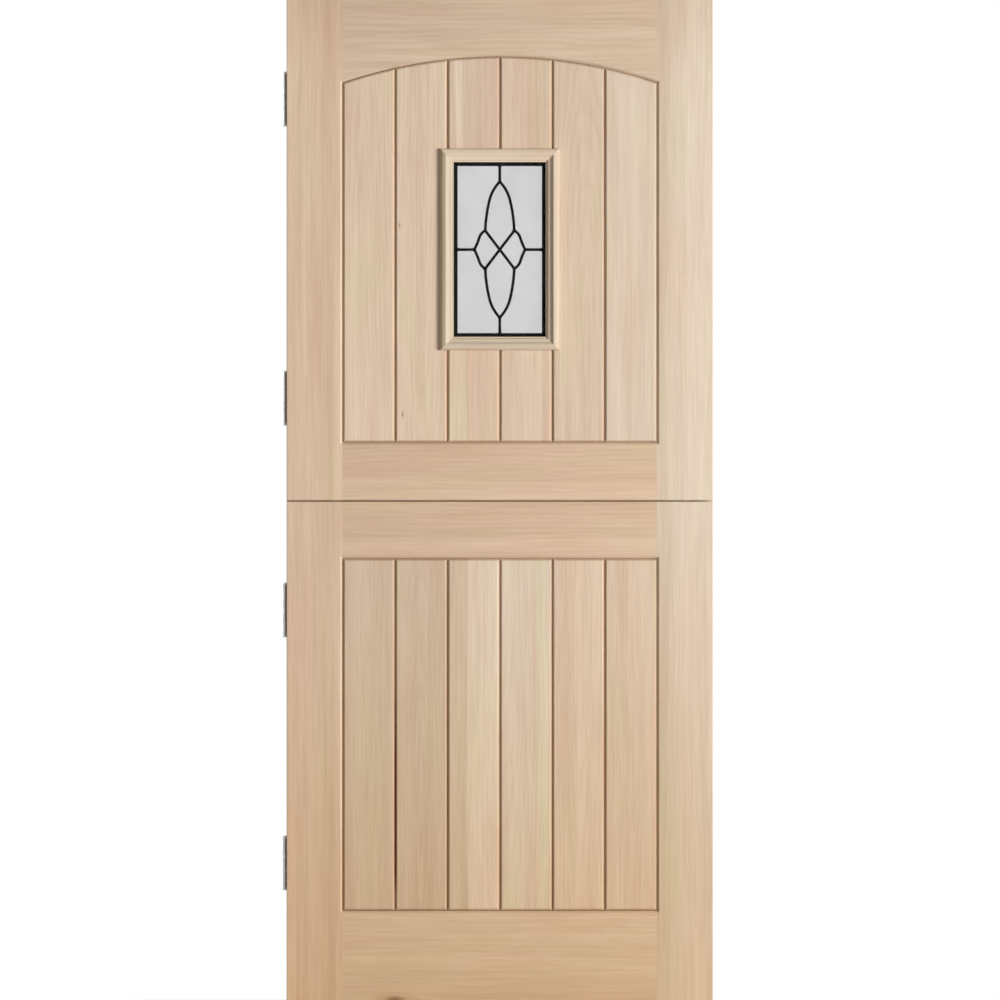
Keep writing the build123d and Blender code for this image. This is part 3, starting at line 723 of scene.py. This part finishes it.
def tangent_arc(start, direction, end):
    """Points on the arc that leaves start in this direction and reaches end."""
    chord = end - start
    normal = Vector((-direction.y, direction.x))
    radius = chord.length_squared / (2 * normal.dot(chord))
    centre = start + normal * radius
    spoke = start - centre
    turn = spoke.angle_signed(end - centre)
    points = []
    for step in range(ARC_STEPS + 1):
        angle = -turn * step / ARC_STEPS
        cos, sin = math.cos(angle), math.sin(angle)
        points.append(centre + Vector((spoke.x * cos - spoke.y * sin, spoke.x * sin + spoke.y * cos)))
    return points


def bow(tip, shoulder, foot, lean):
    """The curve from tip to foot that leans out at its shoulder."""
    down = Vector((math.sin(lean), -math.cos(lean)))
    upper = tangent_arc(shoulder, -down, tip)
    lower = tangent_arc(shoulder, down, foot)
    return list(reversed(upper)) + lower[1:]


def mirrored(points, x_sign, z_sign):
    return [Vector((point.x * x_sign, point.y * z_sign)) for point in points]


def came_paths():
    """Centre lines of the lattice, and the places where they are soldered."""
    inner = HALF_LEADED - Vector((BORDER_WIDTH, BORDER_WIDTH))
    side_joint = Vector((inner.x, 0))
    side_end = Vector((inner.x + BORDER_OVERLAP, 0))
    top_joint = Vector((0, inner.y))
    top_end = Vector((0, inner.y + BORDER_OVERLAP))
    middle = Vector((0, 0))
    quarter = (
        bow(LENS_TIP, LENS_SHOULDER, LENS_FOOT, LENS_LEAN),
        bow(LENS_FOOT, DIAMOND_SHOULDER, DIAMOND_TIP, DIAMOND_LEAN),
        [middle, LENS_FOOT],
    )
    paths = []
    joints = [middle]
    for sign in (-1, 1):
        for z_sign in (-1, 1):
            paths += [mirrored(path, sign, z_sign) for path in quarter]
            joints += mirrored([LENS_FOOT], sign, z_sign)
        paths.append(mirrored([DIAMOND_TIP, side_end], sign, 1))
        paths.append(mirrored([LENS_TIP, top_end], 1, sign))
        joints += mirrored([DIAMOND_TIP, side_joint], sign, 1)
        joints += mirrored([LENS_TIP, top_joint], 1, sign)
    return paths, joints


def came_section():
    """Half across and Y of an H with domed flanges, round its outline."""
    half = CAME_WIDTH / 2
    heart = HEART_WIDTH / 2
    dome = []
    for step in range(DOME_STEPS + 1):
        angle = math.pi * step / DOME_STEPS
        rise = FLANGE_EDGE + (FLANGE_CROWN - FLANGE_EDGE) * math.sin(angle)
        dome.append((-half * math.cos(angle), QUARRY_Y + rise))
    back = [(-half, QUARRY_Y)] + dome + [(half, QUARRY_Y), (heart, QUARRY_Y)]
    front = [(-across, -y) for across, y in back]
    return back + front


def mesh_piece(name, mesh, material):
    """A new piece on the upper leaf from a finished bmesh."""
    bmesh.ops.recalc_face_normals(mesh, faces=mesh.faces)
    data = bpy.data.meshes.new(name)
    mesh.to_mesh(data)
    mesh.free()
    data.materials.append(material)
    piece = bpy.data.objects.new(name, data)
    bpy.context.scene.collection.objects.link(piece)
    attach(piece, "upper_leaf")
    return piece


def skin(mesh, loops, closed):
    """Faces between each loop of vertices and the next, and caps on the ends of an open row."""
    count = len(loops[0])
    pairs = zip(loops, loops[1:] + loops[:1]) if closed else zip(loops, loops[1:])
    for first, second in pairs:
        for index in range(count):
            after = (index + 1) % count
            mesh.faces.new((first[index], first[after], second[after], second[index]))
    if not closed:
        mesh.faces.new(loops[0])
        mesh.faces.new(reversed(loops[-1]))


def swept_came(mesh, path, section):
    """One came, with its section square to its path at every point."""
    loops = []
    for index, point in enumerate(path):
        before = path[max(index - 1, 0)]
        after = path[min(index + 1, len(path) - 1)]
        direction = (after - before).normalized()
        side = Vector((direction.y, -direction.x))
        loop = []
        for across, y in section:
            spot = point + side * across
            loop.append(mesh.verts.new((LIGHT_X + spot.x, y, LIGHT_Z + spot.y)))
        loops.append(loop)
    skin(mesh, loops, closed=False)


def lattice_net(paths):
    """The lattice of cames, smooth along its flanges and flat on its cut ends."""
    mesh = bmesh.new()
    section = came_section()
    for path in paths:
        swept_came(mesh, path, section)
    for face in mesh.faces:
        face.smooth = len(face.verts) == 4
    return mesh_piece("came_lattice", mesh, black_lead)


def border_net():
    """The border came: a U that holds the glass's edge, mitred at its corners."""
    edge, crown = QUARRY_Y + FLANGE_EDGE, QUARRY_Y + FLANGE_CROWN
    rounded = (BORDER_WIDTH - BORDER_SLOPE / 3, (edge + 2 * crown) / 3)
    back = [
        (HEART_WIDTH, QUARRY_Y),
        (BORDER_WIDTH, QUARRY_Y),
        (BORDER_WIDTH, edge),
        rounded,
        (BORDER_WIDTH - BORDER_SLOPE, crown),
        (0, crown),
    ]
    section = back + [(inset, -y) for inset, y in reversed(back)]
    mesh = bmesh.new()
    loops = []
    for x_sign, z_sign in ((-1, -1), (1, -1), (1, 1), (-1, 1)):
        loop = []
        for inset, y in section:
            x = LIGHT_X + x_sign * (HALF_LEADED.x - inset)
            z = LIGHT_Z + z_sign * (HALF_LEADED.y - inset)
            loop.append(mesh.verts.new((x, y, z)))
        loops.append(loop)
    skin(mesh, loops, closed=True)
    return mesh_piece("came_border", mesh, black_lead)


def solder_dome(mesh, draw, place, face):
    """A low, uneven dome of solder on one face of a joint: 1 for the inside face, -1 for the other."""
    lobes = []
    for turns in SOLDER_LOBES:
        start = draw.uniform(0, math.tau)
        lobes.append((turns, start, draw.uniform(*SOLDER_SWELL)))
    size = SOLDER_RADIUS * draw.uniform(*SOLDER_SIZES)
    rings = []
    for ring in range(SOLDER_RINGS + 1):
        lean = math.pi / 2 * ring / (SOLDER_RINGS + 1)
        rise = (FLANGE_CROWN - FLANGE_EDGE + SOLDER_RISE) * math.sin(lean)
        y = face * (QUARRY_Y + FLANGE_EDGE + rise)
        loop = []
        for spoke in range(SOLDER_SPOKES):
            angle = math.tau * spoke / SOLDER_SPOKES
            swell = 1 + sum(much * math.sin(turns * angle + start) for turns, start, much in lobes)
            out = size * swell * math.cos(lean)
            x = LIGHT_X + place.x + out * math.cos(angle)
            z = LIGHT_Z + place.y + out * math.sin(angle)
            loop.append(mesh.verts.new((x, y, z)))
        rings.append(loop)
    skin(mesh, rings, closed=False)


def solder_joints(places):
    """Solder on both faces of each joint."""
    draw = random.Random(RANDOM_SEED)
    mesh = bmesh.new()
    for place in places:
        for face in (-1, 1):
            solder_dome(mesh, draw, place, face)
    for face in mesh.faces:
        face.smooth = True
    return mesh_piece("solder_joints", mesh, black_lead)


came_lines, solder_places = came_paths()
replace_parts(lattice_net(came_lines), "lead_cames")
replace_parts(border_net(), "lead_cames")
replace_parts(solder_joints(solder_places), "lead_cames")


# The floor, the lamps, the world and the camera
def background_rays(graph):
    """1 for the rays that should see a white background, else 0."""
    path = graph.add("ShaderNodeLightPath").outputs
    seen = graph.math("MAXIMUM", path["Is Camera Ray"], path["Is Glossy Ray"])
    return graph.math("MAXIMUM", seen, path["Is Transmission Ray"])


def floor_material():
    """Pale floor that keeps its shadows, and glows a little to a camera so that it looks white."""
    graph = material_graph("floor_paint")
    specks = graph.noise(graph.place(), FLOOR_SPECKS, shift=(0.0, 0.0, 0.0))
    paint = graph.shader("ShaderNodeBsdfDiffuse", color=graph.mix(specks, *FLOOR_TONES))
    glow = graph.math("MULTIPLY", background_rays(graph), FLOOR_GLOW)
    both = graph.add("ShaderNodeAddShader")
    graph.feed(both.inputs[0], paint)
    graph.feed(both.inputs[1], graph.shader("ShaderNodeEmission", strength=glow))
    return graph.show(both.outputs[0])


def floor():
    """A flat sheet a hair below the door's foot."""
    corners = (
        (-FLOOR_HALF_WIDTH, FLOOR_FRONT),
        (FLOOR_HALF_WIDTH, FLOOR_FRONT),
        (FLOOR_HALF_WIDTH, FLOOR_BACK),
        (-FLOOR_HALF_WIDTH, FLOOR_BACK),
    )
    mesh = bmesh.new()
    mesh.faces.new([mesh.verts.new((x, y, -FLOOR_DROP)) for x, y in corners])
    data = bpy.data.meshes.new("floor")
    mesh.to_mesh(data)
    mesh.free()
    data.materials.append(floor_material())
    piece = bpy.data.objects.new("floor", data)
    bpy.context.scene.collection.objects.link(piece)


def unlit(names):
    """A collection for a lamp's light linking, which keeps the lamp off the named pieces."""
    collection = bpy.data.collections.new("unlit")
    for name in names:
        collection.objects.link(nodes[name])
    for link in collection.collection_objects:
        link.light_linking.link_state = "EXCLUDE"
    return collection


# A rough pane in front of a lamp would glare, so the world alone lights the obscure glass
obscure = unlit(["leaded_glass_pieces"])


def lamp(name, distance, angle, height, size, share):
    """A square soft lamp, which puts that share of full light on the face that it looks at."""
    data = bpy.data.lights.new(name, "AREA")
    data.shape = "SQUARE"
    data.size = size
    data.energy = math.pi**2 * distance**2 * share / abs(math.cos(angle))
    place = bpy.data.objects.new(name, data)
    place.location = (distance * math.sin(angle), -distance * math.cos(angle), height)
    place.rotation_mode = "QUATERNION"
    place.rotation_quaternion = (LAMP_TARGET - place.location).to_track_quat("-Z", "Y")
    place.visible_camera = False
    place.visible_transmission = False
    place.light_linking.receiver_collection = obscure
    bpy.context.scene.collection.objects.link(place)


def white_world():
    """White to a camera and in what reflects or passes it on, and a soft fill for the rest."""
    graph = Graph(bpy.data.worlds.new("world"), "ShaderNodeOutputWorld")
    strength = graph.ramp(background_rays(graph), 0.0, 1.0, WORLD_FILL, 1.0)
    white = graph.shader("ShaderNodeBackground", color=(1.0, 1.0, 1.0, 1.0), strength=strength)
    bpy.context.scene.world = graph.show(white)


def camera():
    """A level camera whose frame is PHOTO_SPAN wide at the outside face."""
    data = bpy.data.cameras.new("camera")
    data.lens = CAMERA_LENS
    data.sensor_width = SENSOR_WIDTH
    data.clip_end = CAMERA_REACH
    place = bpy.data.objects.new("camera", data)
    distance = PHOTO_SPAN * CAMERA_LENS / SENSOR_WIDTH
    place.location = PHOTO_CENTRE - Vector((0, distance, 0))
    place.rotation_euler = (math.radians(90), 0, 0)
    bpy.context.scene.collection.objects.link(place)
    bpy.context.scene.camera = place


floor()
lamp("key", **KEY_LAMP)
lamp("rear", **REAR_LAMP)
white_world()
camera()
bpy.context.scene.view_settings.view_transform = "Standard"
